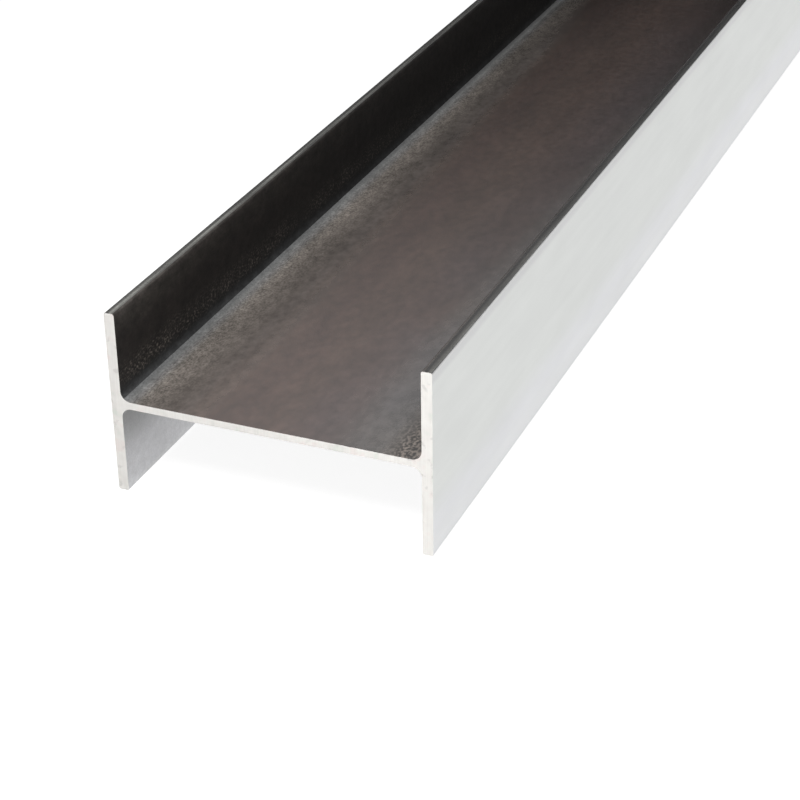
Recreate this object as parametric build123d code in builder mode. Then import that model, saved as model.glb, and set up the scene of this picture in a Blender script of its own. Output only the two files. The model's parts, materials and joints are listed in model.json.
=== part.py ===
from build123d import *
import os

# Steel I-beam with parallel flanges, hot rolled as one piece and sawn square to length.
# It lies on its flange toes with the web level: X runs across the depth of the section,
# Y along the beam and Z up. The origin is on the ground, under the middle of the beam.
# All sizes are in millimetres.

# Driving dimensions of the rolled section
section_depth = 251.4  # over the outer faces of the two flanges
flange_width = 146.1  # from toe to toe of one flange
flange_thickness = 8.6
web_thickness = 6.0
root_radius = 7.6  # fillet that the rolls leave where the web runs into a flange
toe_radius = 1.8  # rounded corners along the flange toes

# Length that the stock is sold in
beam_length = 6000.0

# Sizes that follow from the section
flange_spacing = section_depth - flange_thickness  # between the middles of the two flanges
clear_depth = section_depth - 2 * flange_thickness  # between the inner faces of the flanges
ground_to_web = flange_width / 2  # the web is at mid-height of the flanges

# The section stands in the XZ plane, with its centre at the height of the web.
section_plane = Plane(origin=(0, 0, ground_to_web), x_dir=(1, 0, 0), z_dir=(0, -1, 0))

os.makedirs("parts", exist_ok=True)

# Rolled beam
with BuildPart() as i_beam:
    with BuildSketch(section_plane) as section:
        with GridLocations(flange_spacing, 0, 2, 1):
            Rectangle(flange_thickness, flange_width)
        Rectangle(clear_depth, web_thickness)

        # The four inner corners where the web meets the flanges are the nearest to the centre.
        root_corners = section.vertices().sort_by_distance((0, 0, 0))[:4]
        fillet(root_corners, radius=root_radius)

        # Both corners of every toe, at the foot and at the head of the flanges.
        corners_by_height = section.vertices().group_by(Axis.Y)
        fillet(corners_by_height[0] + corners_by_height[-1], radius=toe_radius)

    # The saw cuts at both ends are square to the beam.
    extrude(amount=beam_length / 2, both=True)

i_beam.part.label = "i_beam"
export_step(i_beam.part, "parts/i_beam.step")
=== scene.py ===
import json
import math
from functools import partial

import bmesh
import bpy
from mathutils import Matrix, Vector, noise


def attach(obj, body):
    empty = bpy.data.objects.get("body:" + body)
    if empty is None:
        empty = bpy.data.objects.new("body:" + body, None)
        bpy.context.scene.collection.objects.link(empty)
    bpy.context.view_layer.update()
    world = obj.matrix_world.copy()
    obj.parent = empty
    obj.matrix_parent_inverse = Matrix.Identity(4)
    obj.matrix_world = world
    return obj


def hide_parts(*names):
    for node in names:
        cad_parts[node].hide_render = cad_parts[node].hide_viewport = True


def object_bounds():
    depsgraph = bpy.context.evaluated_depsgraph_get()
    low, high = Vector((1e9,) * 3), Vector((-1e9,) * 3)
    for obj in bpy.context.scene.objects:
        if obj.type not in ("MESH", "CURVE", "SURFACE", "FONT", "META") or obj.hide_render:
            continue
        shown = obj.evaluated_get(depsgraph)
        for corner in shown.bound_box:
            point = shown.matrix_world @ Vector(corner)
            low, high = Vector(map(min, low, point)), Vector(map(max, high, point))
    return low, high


# A steel I-beam, hot rolled in one piece and sawn square at both ends, lying on its flange toes.
# X runs across the depth of the section, Y along the beam and Z up. All lengths are in metres.

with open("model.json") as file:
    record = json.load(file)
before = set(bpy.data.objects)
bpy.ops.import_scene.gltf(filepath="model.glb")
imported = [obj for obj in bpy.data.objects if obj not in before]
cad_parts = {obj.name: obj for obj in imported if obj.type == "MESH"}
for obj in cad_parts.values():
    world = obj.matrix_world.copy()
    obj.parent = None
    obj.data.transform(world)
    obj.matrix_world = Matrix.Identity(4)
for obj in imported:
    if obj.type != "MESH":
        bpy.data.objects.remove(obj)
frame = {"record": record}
cad_low, cad_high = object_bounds()
MM = 0.001

# Section, read from the frame
mount_places = {m["name"]: Vector(m["pos_m"]) for m in frame["record"]["mounts"]}
HALF_DEPTH = cad_high.x
HALF_LENGTH = cad_high.y
FLANGE_WIDTH = cad_high.z - cad_low.z
WEB_HEIGHT = (cad_high.z + cad_low.z) / 2
WEB_THICKNESS = mount_places["web_upper_face"].z - mount_places["web_lower_face"].z
FLANGE_THICKNESS = 2 * (HALF_DEPTH - mount_places["right_foot_toe"].x)
INNER_FACE = HALF_DEPTH - FLANGE_THICKNESS

# Rolled roundings, and the arris that the saw leaves
ROOT_RADIUS = 7.6 * MM
TOE_RADIUS = 1.8 * MM
SAWN_ARRIS = 0.35 * MM
ROOT_SEGMENTS = 10
TOE_SEGMENTS = 6
ARRIS_SEGMENTS = 2

# The slight wave of rolled faces
ROLL_WAVE_DEPTH = 0.25 * MM
ROLL_WAVE_LENGTH = 140 * MM

# Spacing of the mesh along the beam and across its faces, and how far large faces lead the shading
STATION_STEP = 25 * MM
COLUMN_STEP = 18 * MM
LARGE_FACE_WEIGHT = 80

# Axes across the section and up it, by number
ACROSS = 0
UPWARDS = 2

# Two slow swings of tone along the beam, which mostly paint light falling off away from the near end: metres
# a swing, and where each starts
SHORT_SWING_LENGTH = 1.26
SHORT_SWING_PHASE = math.radians(99)
LONG_SWING_LENGTH = 2.2
LONG_SWING_PHASE = math.radians(213)

# Scales that draw a pattern out: along the beam for mill scale, scuffs and streaks, upright for saw lines
DRAWN_OUT = (1.0, 0.6, 1.0)
ROLLED_OUT = (1.0, 0.3, 1.0)
SCUFFED_OUT = (1.0, 0.05, 1.0)
STREAKED_OUT = (1.0, 0.03, 1.0)
SAWN_OUT = (1.0, 1.0, 0.02)

# Most of a noise lies between these two values
NOISE_LOW = 0.3
NOISE_HIGH = 0.7

# Mill scale: the IOR of iron oxide, and how much of it the sand covers at most
SCALE_IOR = 2.3
SAND_SHARE = 0.9

# Places on the web's scale, measured from the inner face of a flange
ROOT_EDGE_START = 2.5 * MM
ROOT_EDGE_END = 5 * MM
MATT_ROOT_START = 3 * MM
MATT_ROOT_END = 10 * MM
SAND_FADE_START = 18 * MM
SAND_FADE_END = 44 * MM
STRIP_TAPER_START = 20 * MM
SHADE_BAND_START = 24 * MM
SHADE_BAND_FULL = 38 * MM
SHADE_BAND_FADE = 55 * MM
SHADE_BAND_END = 110 * MM

# Places on the web's scale, measured from its middle towards the side that a flange's painted shadow darkens
FLANGE_SHADOW_START = 45 * MM
FLANGE_SHADOW_FULL = 75 * MM
BROWN_START = 84 * MM
BROWN_FULL = 100 * MM
BLUE_FULL = 110 * MM

# Places on the upper flanges' scale, measured up from the web
FLANGE_SAND_START = 7 * MM
FLANGE_SAND_FULL = 14 * MM
FLANGE_SAND_FADE = 15 * MM
FLANGE_SAND_END = 31 * MM

# Finishes, in the order of the beam's material slots
SAWN_END, OUTER_FACE, TOE, WEB, FLANGE, UNDERSIDE = range(6)

# How squarely a face has to look a way to face it. A toe's inner rounding, which is dark, needs more.
FACING = 0.7
TOE_FACING = 0.95

# Camera, fitted to the beam's edges in the photograph, its place from the middle of the near end
LENS_MM = 93.93
SENSOR_MM = 36.0
CAMERA_FROM_NEAR_END = Vector((0.5857, -1.1353, 0.7339))
CAMERA_YAW = math.radians(-23.079)
CAMERA_PITCH = math.radians(29.063)
CAMERA_ROLL = math.radians(0.884)

# Stage
FLOOR_SIZE = 900.0
WHITE_IN_METAL = 0.96
WHITE_IN_SHADE = 0.87
BACKDROP_RISE = math.sin(math.radians(7))
LAMP_BEFORE_END = 0.5
LAMP_HEIGHT = 0.9
LAMP_SIDE = 0.06
LAMP_SIZE = (0.8, 0.5)
LAMP_POWER = 11.7


def linear(hex_colour):
    """An sRGB hex colour as a linear RGBA colour."""
    channels = [int(hex_colour[i : i + 2], 16) / 255 for i in (1, 3, 5)]
    return [c / 12.92 if c <= 0.04045 else ((c + 0.055) / 1.055) ** 2.4 for c in channels] + [1.0]


def add_node(tree, kind, inputs=None, stops=None, **settings):
    """Adds a node with its settings. An input is given a value, or the socket or node that it links to."""
    node = tree.nodes.new(kind)
    for name, value in settings.items():
        setattr(node, name, value)
    for position, colour in stops or ():
        ramp = node.color_ramp.elements
        stop = ramp[0] if position == 0 else ramp[-1] if position == 1 else ramp.new(position)
        stop.color = linear(colour)
    for name, value in (inputs or {}).items():
        if isinstance(value, bpy.types.Node):
            value = next(socket for socket in value.outputs if socket.enabled)
        if isinstance(value, bpy.types.NodeSocket):
            tree.links.new(value, node.inputs[name])
        else:
            node.inputs[name].default_value = value
    return node


def new_material(name):
    """An empty node material, and the function that adds nodes to it."""
    material = bpy.data.materials.new(name)
    material.use_nodes = True
    material.node_tree.nodes.clear()
    return material, partial(add_node, material.node_tree)


# Geometry


def section_corners():
    """Corners (x, z) of the section in order round it, before its roots and toes are rounded."""
    toe = FLANGE_WIDTH / 2
    web = WEB_THICKNESS / 2
    right = [
        (INNER_FACE, web),
        (INNER_FACE, toe),
        (HALF_DEPTH, toe),
        (HALF_DEPTH, -toe),
        (INNER_FACE, -toe),
        (INNER_FACE, -web),
    ]
    left = [(-x, z) for x, z in reversed(right)]
    return [(x, WEB_HEIGHT + z) for x, z in right + left]


def runs_along(edge):
    """True for an edge that runs the length of the beam."""
    a, b = edge.verts
    return abs(a.co.y - b.co.y) > HALF_LENGTH


def at_root(edge):
    """True for an edge where the web meets a flange."""
    return abs(edge.verts[0].co.z - WEB_HEIGHT) < WEB_THICKNESS


def at_sawn_end(edge):
    """True for an edge between a sawn end and a rolled face."""
    return len(edge.link_faces) == 2 and sum(abs(f.normal.y) > FACING for f in edge.link_faces) == 1


def cut_at(mesh, axis, place):
    """Adds a row of edges where a plane across an axis meets the mesh."""
    point = Vector((0, 0, 0))
    point[axis] = place
    normal = Vector((0, 0, 0))
    normal[axis] = 1
    everything = mesh.verts[:] + mesh.edges[:] + mesh.faces[:]
    bmesh.ops.bisect_plane(mesh, geom=everything, plane_co=point, plane_no=normal)


def steps_between(low, high, step):
    """Evenly spaced places between two limits, about a step apart, without the limits."""
    count = max(1, round((high - low) / step))
    return [low + (high - low) * i / count for i in range(1, count)]


def finish_of(face):
    """The finish that a face of the beam has."""
    middle = face.calc_center_median()
    above_middle = middle.z - WEB_HEIGHT
    if abs(face.normal.y) > FACING:
        return SAWN_END
    if abs(middle.x) > HALF_DEPTH - FLANGE_THICKNESS / 2 and abs(face.normal.x) > FACING:
        return OUTER_FACE
    at_toe = abs(above_middle) > FLANGE_WIDTH / 2 - TOE_RADIUS
    turned_in = face.normal.x * middle.x < 0
    if at_toe and abs(face.normal.z) > (TOE_FACING if turned_in else FACING):
        return TOE
    if above_middle < 0:
        return UNDERSIDE
    from_web = above_middle - WEB_THICKNESS / 2
    from_flange = INNER_FACE - abs(middle.x)
    return FLANGE if from_web > from_flange else WEB


def build_beam(materials):
    """The rolled beam, with root fillets, rounded toes, sawn arrises and slightly waved faces."""
    mesh = bmesh.new()
    corners = [mesh.verts.new((x, -HALF_LENGTH, z)) for x, z in section_corners()]
    near_end = mesh.faces.new(corners)
    far_end = bmesh.ops.extrude_face_region(mesh, geom=[near_end], use_keep_orig=True)["geom"]
    far_corners = [part for part in far_end if isinstance(part, bmesh.types.BMVert)]
    bmesh.ops.translate(mesh, verts=far_corners, vec=(0, 2 * HALF_LENGTH, 0))
    bmesh.ops.recalc_face_normals(mesh, faces=mesh.faces[:])

    roots = [e for e in mesh.edges if runs_along(e) and at_root(e)]
    toes = [e for e in mesh.edges if runs_along(e) and not at_root(e)]
    rounding = {"affect": "EDGES", "profile": 0.5, "material": -1, "offset_type": "OFFSET"}
    bmesh.ops.bevel(mesh, geom=roots, offset=ROOT_RADIUS, segments=ROOT_SEGMENTS, **rounding)
    bmesh.ops.bevel(mesh, geom=toes, offset=TOE_RADIUS, segments=TOE_SEGMENTS, **rounding)

    for x in steps_between(-INNER_FACE + ROOT_RADIUS, INNER_FACE - ROOT_RADIUS, COLUMN_STEP):
        cut_at(mesh, ACROSS, x)
    for z in steps_between(cad_low.z + TOE_RADIUS, cad_high.z - TOE_RADIUS, COLUMN_STEP):
        cut_at(mesh, UPWARDS, z)

    mesh.normal_update()
    arrises = [e for e in mesh.edges if at_sawn_end(e)]
    bmesh.ops.bevel(mesh, geom=arrises, offset=SAWN_ARRIS, segments=ARRIS_SEGMENTS, **rounding)

    long_edges = [e for e in mesh.edges if runs_along(e)]
    stations = round(2 * HALF_LENGTH / STATION_STEP)
    bmesh.ops.subdivide_edges(mesh, edges=long_edges, cuts=stations, use_grid_fill=True)

    mesh.normal_update()
    for vert in mesh.verts:
        wave = noise.noise(vert.co / ROLL_WAVE_LENGTH)
        vert.co -= vert.normal * ROLL_WAVE_DEPTH * (0.5 + 0.5 * wave)
    mesh.normal_update()

    data = bpy.data.meshes.new("rolled_beam")
    for material in materials:
        data.materials.append(material)
    for face in mesh.faces:
        face.smooth = True
        face.material_index = finish_of(face)
    mesh.to_mesh(data)
    mesh.free()

    beam = bpy.data.objects.new("rolled_beam", data)
    bpy.context.scene.collection.objects.link(beam)
    even = beam.modifiers.new("flat faces stay flat", "WEIGHTED_NORMAL")
    even.weight = LARGE_FACE_WEIGHT
    return beam


# Materials


def pattern(add, place, size, low=0.0, high=1.0, detail=2.0):
    """Noise with grains of a real size, spread between two values."""
    grains = add("ShaderNodeTexNoise", {"Vector": place, "Scale": 1 / size, "Detail": detail})
    spread = {"From Min": NOISE_LOW, "From Max": NOISE_HIGH, "To Min": low, "To Max": high}
    return add("ShaderNodeMapRange", {"Value": grains, **spread})


def shaded(add, colour, *shades):
    """A colour multiplied by each of the shades."""
    for shade in shades:
        colour = add(
            "ShaderNodeMix",
            {"Factor": 1.0, "A": colour, "B": shade},
            data_type="RGBA",
            blend_type="MULTIPLY",
        )
    return colour


def finished(add, material, **surface):
    """Ends a material with its shader, whose sockets are given by name with underscores for spaces."""
    sockets = {name.replace("_", " "): value for name, value in surface.items()}
    shader = add("ShaderNodeBsdfPrincipled", sockets)
    add("ShaderNodeOutputMaterial", {"Surface": shader})
    return material


def on_beam(add):
    """Where a point of the beam lies: its place, and its place along each axis."""
    place = add("ShaderNodeTexCoord").outputs["Object"]
    axes = add("ShaderNodeSeparateXYZ", {"Vector": place})
    return place, axes.outputs


def in_trough(add):
    """Where a point of a trough lies: as on the beam, and how far from the flange and from the web."""
    place, axes = on_beam(add)
    off_middle = add("ShaderNodeMath", {0: axes["X"]}, operation="ABSOLUTE")
    from_flange = add("ShaderNodeMath", {0: INNER_FACE, 1: off_middle}, operation="SUBTRACT")
    above_middle = add("ShaderNodeMath", {0: axes["Z"], 1: WEB_HEIGHT}, operation="SUBTRACT")
    off_web = add("ShaderNodeMath", {0: above_middle}, operation="ABSOLUTE")
    from_web = add("ShaderNodeMath", {0: off_web, 1: WEB_THICKNESS / 2}, operation="SUBTRACT")
    return place, axes, from_flange, from_web


def swing_along_beam(add, along, turn, phase):
    """A value that swings between -1 and 1 along the beam, once every given length. Its uses mostly paint a
    fall-off of light along the beam.
    """
    angle = add("ShaderNodeMath", {0: along, 1: 2 * math.pi / turn, 2: phase}, operation="MULTIPLY_ADD")
    return add("ShaderNodeMath", {0: angle}, operation="SINE")


def sawn_steel():
    """Carbon steel, fresh from a cold saw: bright and pale, with fine upright saw lines."""
    material, add = new_material("cold_sawn_carbon_steel")
    place, axes = on_beam(add)

    # Faint pink and green tints, 15 mm across
    clean = add(
        "ShaderNodeValToRGB",
        {"Fac": pattern(add, place, 15 * MM)},
        [(0, "#e7eae3"), (0.3, "#f1eeea"), (0.62, "#f5f3ef"), (1, "#f3eae6")],
    )

    # Grey smudges, a few millimetres across
    smudge = pattern(add, place, 7 * MM, -1.1, 0.25, detail=3.0)
    colour = add("ShaderNodeMix", {"Factor": smudge, "A": clean, "B": linear("#a9a7a4")}, data_type="RGBA")

    # Upright saw lines, drawn 1 mm apart because real ones are too fine to show, and a brighter side
    upright = add("ShaderNodeMapping", {"Vector": place, "Scale": SAWN_OUT})
    lines = pattern(add, upright, 1.0 * MM, 0.94, 1.0, detail=1.0)
    side = add(
        "ShaderNodeMapRange",
        {
            "Value": axes["X"],
            "From Min": -HALF_DEPTH,
            "From Max": HALF_DEPTH,
            "To Min": 0.9,
            "To Max": 1.05,
        },
    )
    relief = add("ShaderNodeBump", {"Height": lines, "Distance": 0.3 * MM, "Strength": 0.5})
    return finished(
        add,
        material,
        Base_Color=shaded(add, colour, lines, side),
        Metallic=0.3,
        Roughness=pattern(add, upright, 1.0 * MM, 0.47, 0.53, detail=1.0),
        Normal=relief,
    )


def worn_flange_face():
    """Rolled steel with its scale worn thin: smooth, pale grey and softly clouded."""
    material, add = new_material("rolled_steel_worn_scale")
    place, axes = on_beam(add)

    # Tone up the face: a pale rounding at the foot, bluer above it, and greyer towards the upper toe
    height = add("ShaderNodeMapRange", {"Value": axes["Z"], "From Min": cad_low.z, "From Max": cad_high.z})
    tone = add(
        "ShaderNodeValToRGB",
        {"Fac": height},
        [
            (0, "#fafafb"),
            (0.012, "#f5f6f8"),
            (0.06, "#f9fafb"),
            (0.18, "#f7f8fa"),
            (0.34, "#f2f4f2"),
            (0.93, "#f2f4f2"),
            (0.955, "#e8e9e9"),
            (0.975, "#e6e7e7"),
            (0.985, "#ebebeb"),
            (1, "#e6e6e6"),
        ],
    )

    # Clouds 90 mm and blotches 25 mm across, drawn out along the rolling direction, long streaks,
    # and a slight change of tone along the beam with the long swing
    along = add("ShaderNodeMapping", {"Vector": place, "Scale": STREAKED_OUT})
    streaks = pattern(add, along, 6 * MM, 0.98, 1.0)
    rolled = add("ShaderNodeMapping", {"Vector": place, "Scale": ROLLED_OUT})
    clouds = pattern(add, rolled, 90 * MM, 0.93, 1.01)
    blotches = pattern(add, rolled, 25 * MM, 0.96, 1.0, detail=3.0)
    long_swing = swing_along_beam(add, axes["Y"], LONG_SWING_LENGTH, LONG_SWING_PHASE)
    paler = add("ShaderNodeMath", {0: long_swing, 1: -0.025, 2: 0.978}, operation="MULTIPLY_ADD")
    relief = add("ShaderNodeBump", {"Height": streaks, "Distance": 0.6 * MM, "Strength": 0.4})
    return finished(
        add,
        material,
        Base_Color=shaded(add, tone, streaks, clouds, blotches, paler),
        Metallic=0.85,
        Roughness=pattern(add, rolled, 90 * MM, 0.36, 0.48),
        Normal=relief,
    )


def toe_scale():
    """Mill scale on the flange toes: dark grey oxide with a green cast and long scuffs, painted light on one
    side of each toe and shaded on the other.
    """
    material, add = new_material("mill_scale_on_toes")
    place, axes = on_beam(add)

    # From a toe's inner to its outer edge: dark grey oxide with painted highlight and shade, each toe
    # painted bright on its side towards positive X and dark on the other, as a crowned toe lit from that
    # side
    off_middle = add("ShaderNodeMath", {0: axes["X"]}, operation="ABSOLUTE")
    across = add("ShaderNodeMapRange", {"Value": off_middle, "From Min": INNER_FACE, "From Max": HALF_DEPTH})
    left_toe_light_and_shade = add(
        "ShaderNodeValToRGB",
        {"Fac": across},
        [
            (0, "#121211"),
            (0.1, "#191817"),
            (0.22, "#51504c"),
            (0.34, "#7b7b76"),
            (0.45, "#757570"),
            (0.57, "#565652"),
            (0.69, "#363532"),
            (0.8, "#353431"),
            (1, "#3a3936"),
        ],
    )
    right_toe_light_and_shade = add(
        "ShaderNodeValToRGB",
        {"Fac": across},
        [
            (0, "#4b4642"),
            (0.18, "#453f3c"),
            (0.28, "#302c2a"),
            (0.39, "#131211"),
            (0.51, "#171615"),
            (0.63, "#43423f"),
            (0.75, "#43423f"),
            (0.86, "#4f4f4c"),
            (1, "#575855"),
        ],
    )
    side = add("ShaderNodeMath", {0: axes["X"], 1: 0.0}, operation="GREATER_THAN")
    colour = add("ShaderNodeMix", {"Factor": side, "A": left_toe_light_and_shade, "B": right_toe_light_and_shade}, data_type="RGBA")

    # Scuffs 3 mm wide along the toe, over 2 mm grains, and a painted fall-off of light along the beam with
    # the long swing, lightest at the near end
    along = add("ShaderNodeMapping", {"Vector": place, "Scale": SCUFFED_OUT})
    scuffs = pattern(add, along, 3 * MM, 0.5, 1.5, detail=3.0)
    grain = pattern(add, place, 2 * MM)
    grains = add("ShaderNodeMapRange", {"Value": grain, "To Min": 0.7, "To Max": 1.3})
    long_swing = swing_along_beam(add, axes["Y"], LONG_SWING_LENGTH, LONG_SWING_PHASE)
    paler = add("ShaderNodeMath", {0: long_swing, 1: 0.32, 2: 0.73}, operation="MULTIPLY_ADD")
    relief = add("ShaderNodeBump", {"Height": grain, "Distance": 0.06 * MM, "Strength": 0.5})

    # Matt at the inner edge, and smooth past a quarter of the way across
    matt = add("ShaderNodeMapRange", {"Value": across, "From Max": 0.25, "To Min": 0.6, "To Max": 0.26})
    return finished(
        add,
        material,
        Base_Color=shaded(add, colour, scuffs, grains, paler),
        IOR=SCALE_IOR,
        Roughness=matt,
        Normal=relief,
    )


def web_scale():
    """Mill scale on the web: smooth brown oxide under a soft grey sheen, matt and sandy at the roots."""
    material, add = new_material("mill_scale_on_web")
    place, axes, from_flange, _ = in_trough(add)
    drawn_out = add("ShaderNodeMapping", {"Vector": place, "Scale": DRAWN_OUT})

    # The strip beside each root is painted paler and darker along the beam with the short swing, darkest
    # about a metre in, as a painted fall-off of light; it narrows along the beam with the long swing, as the
    # painted sheen in it fades
    short_swing = swing_along_beam(add, axes["Y"], SHORT_SWING_LENGTH, SHORT_SWING_PHASE)
    paler = add("ShaderNodeMath", {0: short_swing, 1: 0.33, 2: 1.08}, operation="MULTIPLY_ADD")
    long_swing = swing_along_beam(add, axes["Y"], LONG_SWING_LENGTH, LONG_SWING_PHASE)
    narrower = add("ShaderNodeMath", {0: long_swing, 1: -0.36, 2: 0.26}, operation="MULTIPLY_ADD")
    in_taper = add(
        "ShaderNodeMath",
        {0: from_flange, 1: STRIP_TAPER_START},
        operation="SUBTRACT",
        use_clamp=True,
    )
    from_root = add("ShaderNodeMath", {0: in_taper, 1: narrower, 2: from_flange}, operation="MULTIPLY_ADD")

    # Brown oxide, greyer towards the roots. Painted light sits in it: the fillet is painted dark to dim its
    # sheen, a painted highlight runs pale along the fillet's edge, and out to about 60 mm the oxide is
    # painted paler, standing in for the sheen that the flange's reflection hides there
    across = add("ShaderNodeMath", {0: from_root, 1: INNER_FACE}, operation="DIVIDE")
    oxide = add(
        "ShaderNodeValToRGB",
        {"Fac": across},
        [
            (0, "#454647"),
            (0.033, "#535454"),
            (0.05, "#838382"),
            (0.075, "#8b8987"),
            (0.12, "#837d77"),
            (0.17, "#7e7771"),
            (0.28, "#726b66"),
            (0.4, "#6d6561"),
            (0.48, "#635751"),
            (0.56, "#54433c"),
            (0.7, "#513f39"),
            (1, "#55443d"),
        ],
    )

    # A blue temper tint in clouds towards one side
    to_side = add("ShaderNodeMapRange", {"Value": axes["X"], "From Max": BLUE_FULL})
    clouds = pattern(add, place, 110 * MM, 0.15, 0.7, detail=3.0)
    blue_share = add("ShaderNodeMath", {0: to_side, 1: clouds}, operation="MULTIPLY")
    blue = linear("#54565f")
    oxide = add("ShaderNodeMix", {"Factor": blue_share, "A": oxide, "B": blue}, data_type="RGBA")

    # Sand-like grit 1.3 mm across beside the roots
    grit = pattern(add, drawn_out, 1.3 * MM)
    sand_start = add("ShaderNodeMapRange", {"Value": from_flange, "From Max": ROOT_EDGE_START})
    sand_end = add(
        "ShaderNodeMapRange",
        {
            "Value": from_root,
            "From Min": SAND_FADE_START,
            "From Max": SAND_FADE_END,
            "To Min": SAND_SHARE,
            "To Max": 0.0,
        },
    )
    sand_share = add("ShaderNodeMath", {0: sand_start, 1: sand_end}, operation="MULTIPLY")
    grains = add("ShaderNodeMapRange", {"Value": grit, "To Min": 0.62, "To Max": 1.45})

    # Beside one root the scale is brown and rough, with pale specks 1.8 mm across
    to_brown = add(
        "ShaderNodeMapRange",
        {"Value": axes["X"], "From Min": BROWN_START, "From Max": BROWN_FULL},
    )
    brown = linear("#716861")
    oxide = add("ShaderNodeMix", {"Factor": to_brown, "A": oxide, "B": brown}, data_type="RGBA")
    coarse = pattern(add, drawn_out, 1.8 * MM)
    specks = add(
        "ShaderNodeMapRange",
        {"Value": coarse, "From Min": 0.3, "From Max": 0.8, "To Min": 0.2, "To Max": 2.6},
    )
    grains = add("ShaderNodeMix", {"Factor": to_brown, "A": grains, "B": specks})
    sandy = add("ShaderNodeMapRange", {"Value": sand_share, "To Min": 1.0, "To Max": grains})

    # A painted glint along the root's edge, strong at the near end and dulling along the beam with the long
    # swing
    glint = add("ShaderNodeMath", {0: long_swing, 1: 0.75, 2: 1.15}, operation="MULTIPLY_ADD")
    painted_root_glint = add(
        "ShaderNodeMapRange",
        {
            "Value": from_flange,
            "From Min": ROOT_EDGE_START,
            "From Max": ROOT_EDGE_END,
            "To Min": glint,
            "To Max": 1.0,
        },
    )

    # The strip's painted fall-off of light along the beam, and a painted shadow of one flange darkening the
    # side of the web next to it
    by_root = add(
        "ShaderNodeMapRange",
        {"Value": sand_end, "From Max": SAND_SHARE, "To Min": 1.0, "To Max": paler},
    )
    flange_shadow = add(
        "ShaderNodeMapRange",
        {"Value": axes["X"], "From Min": FLANGE_SHADOW_START, "From Max": FLANGE_SHADOW_FULL, "To Min": 1.0, "To Max": 0.66},
    )

    # Painted shade about a metre from the near end, and again every 2.2 m: a darker, redder band beside the
    # strip, where the web gets less light and sheen
    band_start = add(
        "ShaderNodeMapRange",
        {"Value": from_flange, "From Min": SHADE_BAND_START, "From Max": SHADE_BAND_FULL},
    )
    band_end = add(
        "ShaderNodeMapRange",
        {"Value": from_flange, "From Min": SHADE_BAND_END, "From Max": SHADE_BAND_FADE},
    )
    band_width = add("ShaderNodeMath", {0: band_start, 1: band_end}, operation="MULTIPLY")
    band_length = add("ShaderNodeMapRange", {"Value": long_swing, "From Min": -0.6, "From Max": -0.95})
    band_share = add("ShaderNodeMath", {0: band_width, 1: band_length}, operation="MULTIPLY")
    painted_shade_red = linear("#35231e")
    oxide = add("ShaderNodeMix", {"Factor": band_share, "A": oxide, "B": painted_shade_red}, data_type="RGBA")

    # Mottle 6 mm, smears 25 mm and clouds 110 mm across, and fine grain, all drawn out along the beam
    mottle = pattern(add, drawn_out, 6 * MM, 0.79, 1.21, detail=3.0)
    rolled = add("ShaderNodeMapping", {"Vector": place, "Scale": ROLLED_OUT})
    smears = pattern(add, rolled, 25 * MM, 0.86, 1.14)
    wide_tone = pattern(add, rolled, 110 * MM, 0.92, 1.08, detail=3.0)
    fine = pattern(add, drawn_out, 1.3 * MM, 0.95, 1.05)
    relief = add("ShaderNodeBump", {"Height": grit, "Distance": 0.02 * MM, "Strength": sand_share})

    # Smooth in the open, matt in the fillets and where the scale is brown
    smooth = pattern(add, drawn_out, 4 * MM, 0.18, 0.22, detail=3.0)
    matt = add(
        "ShaderNodeMapRange",
        {
            "Value": from_flange,
            "From Min": MATT_ROOT_START,
            "From Max": MATT_ROOT_END,
            "To Min": 0.3,
            "To Max": 0.0,
        },
    )
    matt_smooth = add("ShaderNodeMath", {0: smooth, 1: matt}, operation="ADD")
    return finished(
        add,
        material,
        Base_Color=shaded(add, oxide, sandy, painted_root_glint, by_root, flange_shadow, fine, mottle, smears, wide_tone),
        IOR=SCALE_IOR,
        Roughness=add("ShaderNodeMath", {0: to_brown, 1: 0.3, 2: matt_smooth}, operation="MULTIPLY_ADD"),
        Normal=relief,
    )


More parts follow.
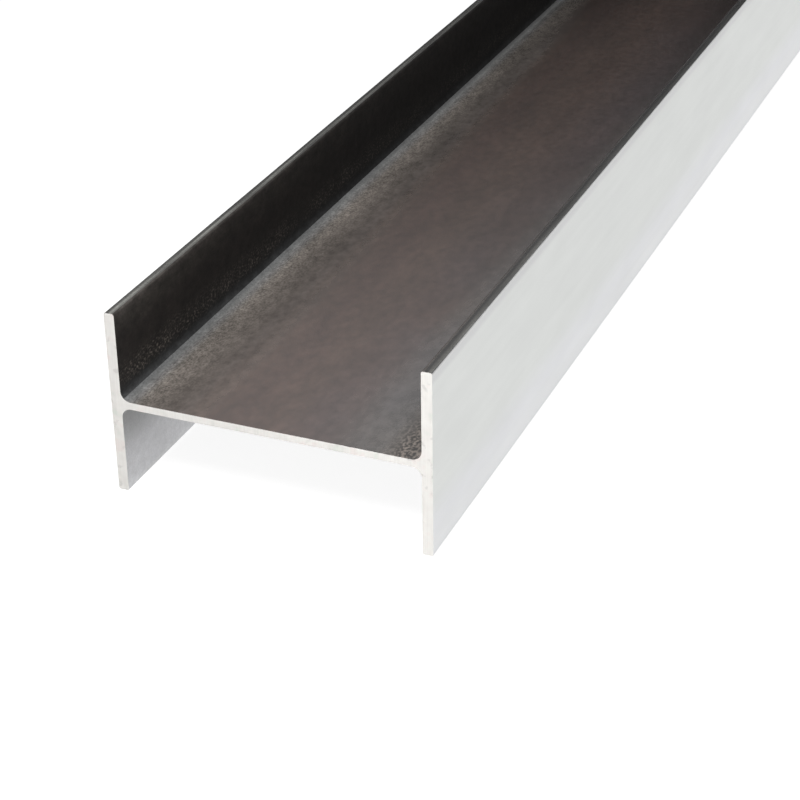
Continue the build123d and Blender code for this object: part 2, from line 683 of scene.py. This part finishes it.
def flange_scale():
    """Mill scale inside the upper flanges: near black, sandy above the roots and greyer by the toes."""
    material, add = new_material("mill_scale_in_flanges")
    place, axes, _, from_web = in_trough(add)
    drawn_out = add("ShaderNodeMapping", {"Vector": place, "Scale": DRAWN_OUT})

    # Grey black at the root, brown black above, greyer by the toe
    up_flange = add("ShaderNodeMath", {0: from_web, 1: FLANGE_WIDTH / 2}, operation="DIVIDE")
    oxide = add(
        "ShaderNodeValToRGB",
        {"Fac": up_flange},
        [
            (0, "#38393a"),
            (0.13, "#1d1d1d"),
            (0.22, "#1b1816"),
            (0.6, "#1d1917"),
            (0.85, "#2b2825"),
            (1, "#474340"),
        ],
    )

    # Sand-like grit 1.7 mm across above the root, in patches 25 mm across
    grit = pattern(add, drawn_out, 1.7 * MM, detail=4.0)
    sand_start = add(
        "ShaderNodeMapRange",
        {"Value": from_web, "From Min": FLANGE_SAND_START, "From Max": FLANGE_SAND_FULL},
    )
    sand_end = add(
        "ShaderNodeMapRange",
        {
            "Value": from_web,
            "From Min": FLANGE_SAND_FADE,
            "From Max": FLANGE_SAND_END,
            "To Min": SAND_SHARE,
            "To Max": 0.0,
        },
    )
    sand_line = add("ShaderNodeMath", {0: sand_start, 1: sand_end}, operation="MULTIPLY")
    patches = pattern(add, drawn_out, 25 * MM, 0.2, 1.1)
    sand_share = add("ShaderNodeMath", {0: sand_line, 1: patches}, operation="MULTIPLY")
    sand = add(
        "ShaderNodeValToRGB",
        {"Fac": grit},
        [(0, "#131111"), (0.4, "#1c1a18"), (0.62, "#36322f"), (0.84, "#5a554f"), (1, "#6c665f")],
    )
    colour = add("ShaderNodeMix", {"Factor": sand_share, "A": oxide, "B": sand}, data_type="RGBA")

    # Fine grain, mottle 6 mm and smears 32 mm across, and a painted fall-off of light along the beam with
    # the two swings, lightest at the near end
    fine = add("ShaderNodeMapRange", {"Value": grit, "To Min": 0.75, "To Max": 1.25})
    mottle = pattern(add, drawn_out, 6 * MM, 0.65, 1.35, detail=3.0)
    smears = pattern(add, place, 32 * MM, 0.8, 1.2)
    long_swing = swing_along_beam(add, axes["Y"], LONG_SWING_LENGTH, LONG_SWING_PHASE)
    short_swing = swing_along_beam(add, axes["Y"], SHORT_SWING_LENGTH, SHORT_SWING_PHASE)
    by_long_swing = add("ShaderNodeMath", {0: long_swing, 1: 0.6, 2: 0.76}, operation="MULTIPLY_ADD")
    paler = add("ShaderNodeMath", {0: short_swing, 1: -0.3, 2: by_long_swing}, operation="MULTIPLY_ADD")
    relief = add("ShaderNodeBump", {"Height": grit, "Distance": 0.1 * MM, "Strength": 0.6})
    return finished(
        add,
        material,
        Base_Color=shaded(add, colour, fine, mottle, smears, paler),
        Specular_IOR_Level=0.38,
        Roughness=pattern(add, place, 6 * MM, 0.7, 0.8, detail=3.0),
        Normal=relief,
    )


def underside_steel():
    """Rolled steel under the web with its scale worn thin: pale blue grey, with painted shade darkening it
    towards the roots.
    """
    material, add = new_material("rolled_steel_underside")
    place, _, _, from_web = in_trough(add)
    down_flange = add("ShaderNodeMath", {0: from_web, 1: FLANGE_WIDTH / 2}, operation="DIVIDE")
    # Pale blue grey, darkened towards the root under the web by painted shade
    tone = add(
        "ShaderNodeValToRGB",
        {"Fac": down_flange},
        [(0, "#939392"), (0.3, "#acacad"), (0.5, "#c4c4c6"), (0.85, "#d0d0d2"), (1, "#dcdcde")],
    )

    # Grit 1.5 mm, mottle 6 mm and clouds 110 mm across
    grit = pattern(add, place, 1.5 * MM, 0.95, 1.05)
    mottle = pattern(add, place, 6 * MM, 0.9, 1.1, detail=3.0)
    clouds = pattern(add, place, 110 * MM, 0.93, 1.07, detail=3.0)
    relief = add("ShaderNodeBump", {"Height": grit, "Distance": 0.5 * MM, "Strength": 0.6})
    return finished(
        add,
        material,
        Base_Color=shaded(add, tone, grit, mottle, clouds),
        Metallic=0.85,
        Roughness=pattern(add, place, 6 * MM, 0.5, 0.62, detail=3.0),
        Normal=relief,
    )


# Stage


def mirrored_light(add, path):
    """1 for what is seen mirrored in a surface or through one, and 0 for the rest."""
    return add(
        "ShaderNodeMath",
        {0: path.outputs["Is Glossy Ray"], 1: path.outputs["Is Transmission Ray"]},
        operation="MAXIMUM",
    )


def studio_floor():
    """A plain white floor. It is white to the camera and in the metal, and keeps the beam's soft shadow."""
    data = bpy.data.meshes.new("studio_floor")
    mesh = bmesh.new()
    bmesh.ops.create_grid(mesh, x_segments=1, y_segments=1, size=FLOOR_SIZE / 2)
    mesh.to_mesh(data)
    mesh.free()
    floor = bpy.data.objects.new("studio_floor", data)
    bpy.context.scene.collection.objects.link(floor)

    material, add = new_material("white_studio_paper")
    path = add("ShaderNodeLightPath")
    mirrored = mirrored_light(add, path)
    paper = add("ShaderNodeBsdfDiffuse", {"Color": linear("#f6f6f5")})
    white = add("ShaderNodeEmission", {"Color": linear("#ffffff"), "Strength": WHITE_IN_METAL})
    in_light = add("ShaderNodeMixShader", {0: mirrored, 1: paper, 2: white})

    # To the camera the floor is pale grey in the shade, and open light brings it up to white
    shade = add("ShaderNodeEmission", {"Color": linear("#ffffff"), "Strength": WHITE_IN_SHADE})
    open_light = add("ShaderNodeBsdfDiffuse", {"Color": linear("#aaaaaa")})
    to_camera = add("ShaderNodeAddShader", {0: shade, 1: open_light})
    surface = add("ShaderNodeMixShader", {0: path.outputs["Is Camera Ray"], 1: in_light, 2: to_camera})
    add("ShaderNodeOutputMaterial", {"Surface": surface})
    data.materials.append(material)


def studio_world():
    """A lit ceiling and a wall round the stage, white to the camera and, low down, in the metal."""
    world = bpy.data.worlds.new("studio")
    world.use_nodes = True
    world.node_tree.nodes.clear()
    add = partial(add_node, world.node_tree)
    direction = add("ShaderNodeTexCoord").outputs["Generated"]
    axes = add("ShaderNodeSeparateXYZ", {"Vector": direction})
    rise = add("ShaderNodeMapRange", {"Value": axes.outputs["Z"]})
    ramp = add(
        "ShaderNodeValToRGB",
        {"Fac": rise},
        [
            (0, "#1c1c1c"),
            (0.38, "#1c1c1c"),
            (0.47, "#c3c3c3"),
            (0.62, "#c3c3c3"),
            (0.8, "#9a9a9a"),
            (1, "#9a9a9a"),
        ],
    )
    path = add("ShaderNodeLightPath")
    mirrored = mirrored_light(add, path)
    low_down = add("ShaderNodeMath", {0: axes.outputs["Z"], 1: BACKDROP_RISE}, operation="LESS_THAN")
    in_metal = add("ShaderNodeMath", {0: mirrored, 1: low_down}, operation="MULTIPLY")
    seen = add("ShaderNodeMath", {0: path.outputs["Is Camera Ray"], 1: in_metal}, operation="MAXIMUM")
    colour = add("ShaderNodeMix", {"Factor": seen, "A": ramp, "B": linear("#ffffff")}, data_type="RGBA")
    light = add("ShaderNodeBackground", {"Color": colour, "Strength": 1.0})
    add("ShaderNodeOutputWorld", {"Surface": light})
    bpy.context.scene.world = world


def softbox(name, place, target, size, power):
    """A soft rectangular lamp at a place, turned to a target."""
    lamp = bpy.data.lights.new(name, "AREA")
    lamp.shape = "RECTANGLE"
    lamp.size, lamp.size_y = size
    lamp.energy = power
    box = bpy.data.objects.new(name, lamp)
    box.rotation_mode = "QUATERNION"
    box.rotation_quaternion = (Vector(place) - Vector(target)).to_track_quat("Z", "Y")
    box.location = place
    box.visible_camera = False
    bpy.context.scene.collection.objects.link(box)


def photograph_camera():
    """The camera at the photograph's place and angle."""
    forward = Vector((
        math.sin(CAMERA_YAW) * math.cos(CAMERA_PITCH),
        math.cos(CAMERA_YAW) * math.cos(CAMERA_PITCH),
        -math.sin(CAMERA_PITCH),
    ))
    level = Vector((math.cos(CAMERA_YAW), -math.sin(CAMERA_YAW), 0))
    down = forward.cross(level)
    right = math.cos(CAMERA_ROLL) * level + math.sin(CAMERA_ROLL) * down
    up = math.sin(CAMERA_ROLL) * level - math.cos(CAMERA_ROLL) * down
    near_end = Vector((0, -HALF_LENGTH, WEB_HEIGHT))

    data = bpy.data.cameras.new("photograph_camera")
    data.lens = LENS_MM
    data.sensor_width = SENSOR_MM
    data.clip_end = FLOOR_SIZE
    camera = bpy.data.objects.new("photograph_camera", data)
    turn = Matrix((right, up, -forward)).transposed().to_4x4()
    camera.matrix_world = Matrix.Translation(near_end + CAMERA_FROM_NEAR_END) @ turn
    bpy.context.scene.collection.objects.link(camera)
    bpy.context.scene.camera = camera


finishes = [sawn_steel(), worn_flange_face(), toe_scale(), web_scale(), flange_scale(), underside_steel()]
beam = build_beam(finishes)
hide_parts("i_beam")
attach(beam, "root")

studio_floor()
studio_world()
for end, name in ((-1, "near_softbox"), (1, "far_softbox")):
    lamp_place = Vector((LAMP_SIDE, end * (HALF_LENGTH + LAMP_BEFORE_END), WEB_HEIGHT + LAMP_HEIGHT))
    below_lamp = Vector((lamp_place.x, lamp_place.y, 0))
    softbox(name, lamp_place, below_lamp, LAMP_SIZE, LAMP_POWER)
photograph_camera()
bpy.context.scene.view_settings.view_transform = "Standard"
